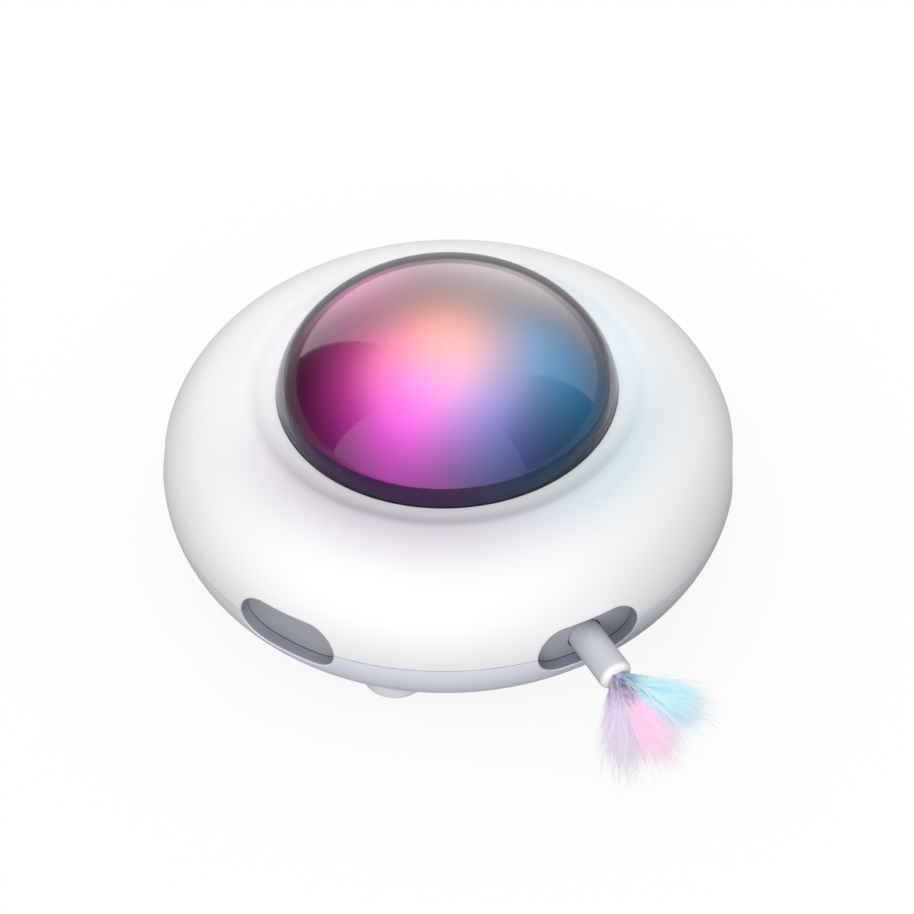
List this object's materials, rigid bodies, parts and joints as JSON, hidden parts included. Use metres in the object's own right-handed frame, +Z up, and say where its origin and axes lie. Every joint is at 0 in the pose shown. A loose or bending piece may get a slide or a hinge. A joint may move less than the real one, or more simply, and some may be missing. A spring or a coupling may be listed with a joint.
{
  "type": "cat feather toy",
  "caption": "Saucer-shaped motorised cat toy: smoked lit dome, slots round the rim, and a curtain drum that swings and draws in a rod with a feather tuft.",
  "frame": {"origin": "on the floor under the middle of the round body", "axes": "+Z up, +X along the feather rod as it reaches out of its slot, +Y to the rod's left"},
  "size_m": [0.2191, 0.176, 0.0915],
  "materials": {
    "white_shell": "satin white moulded ABS",
    "pale_shell": "satin pale grey moulded ABS",
    "smoked_clear": "smoked clear polycarbonate, polished",
    "dark_plastic": "dark moulded ABS",
    "frosted": "frosted diffuser, lit from behind",
    "board_white": "white solder mask",
    "board_green": "green solder mask",
    "lamp": "clear lamp body",
    "chip": "moulded chip package",
    "steel": "plated steel",
    "rubber": "soft pale rubber",
    "nylon": "natural acetal",
    "battery_wrap": "blue shrink wrap",
    "brass": "sintered bronze",
    "drum_grey": "grey moulded ABS",
    "rod_grey": "pale lavender grey acetal",
    "tip_white": "white acetal",
    "feather_blue": "dyed down feather",
    "feather_pink": "dyed down feather",
    "feather_lilac": "dyed down feather"
  },
  "bodies": {
    "base": {"base_shell": "pale_shell", "top_shell": "white_shell", "shell_screws": "steel", "centre_cap": "pale_shell", "rubber_feet": "rubber", "smoked_dome": "smoked_clear", "dome_bezel": "dark_plastic", "light_diffuser": "frosted", "led_board": "board_white", "led_lamps": "lamp", "control_chips": "chip", "board_screws": "steel", "thrust_washer": "nylon", "hub_clip": "steel", "battery_pack": "battery_wrap", "battery_tray": "drum_grey", "charge_board": "board_green", "usb_port": "steel", "drive_gearbox": "nylon", "drive_motor": "steel", "gearbox_screws": "steel", "switch_body": "dark_plastic"},
    "turntable": {"curtain_drum": "drum_grey", "hub_bush": "brass", "drum_gear": "nylon", "gear_screws": "steel", "rod_guide": "drum_grey", "guide_screws": "steel", "rod_gearbox": "brass", "rod_motor": "steel", "motor_cradle": "drum_grey", "motor_strap": "steel", "strap_screws": "steel", "home_switch": "dark_plastic"},
    "rod": {"feather_rod": "rod_grey", "rod_tip": "tip_white", "feather_plug": "tip_white", "feather_blue": "feather_blue", "feather_pink": "feather_pink", "feather_lilac": "feather_lilac"},
    "rod_pinion": {"rod_pinion": "nylon", "rod_pinion_shaft": "steel"},
    "drive_pinion": {"drive_pinion": "nylon", "drive_shaft": "steel"},
    "power_switch": {"switch_knob": "dark_plastic"}
  },
  "joints": [
    {"name": "turntable_swing", "type": "hinge", "parent": "base", "child": "turntable", "pos_m": [0, 0, 0.03], "axis": [0, 0, 1], "range_deg": [-7, 7]},
    {"name": "drive_pinion_spin", "type": "hinge", "parent": "base", "child": "drive_pinion", "pos_m": [0, 0.0361, 0.018], "axis": [0, 0, 1], "range_deg": [-36, 36]},
    {"name": "rod_slide", "type": "slide", "parent": "turntable", "child": "rod", "axis": [1, 0, 0], "range_m": [-0.03, 0], "deforming": ["feather_blue", "feather_pink", "feather_lilac"]},
    {"name": "rod_pinion_spin", "type": "hinge", "parent": "turntable", "child": "rod_pinion", "pos_m": [0.04803, 0, 0.0373], "axis": [0, -1, 0], "range_deg": [-430, 0]},
    {"name": "power_switch_slide", "type": "slide", "parent": "base", "child": "power_switch", "axis": [1, 0, 0], "range_m": [0, 0.003]}
  ],
  "couplings": [
    {"joint": "drive_pinion_spin", "follows": "turntable_swing", "ratio": -5},
    {"joint": "rod_pinion_spin", "follows": "rod_slide", "rad_per_m": 250}
  ]
}
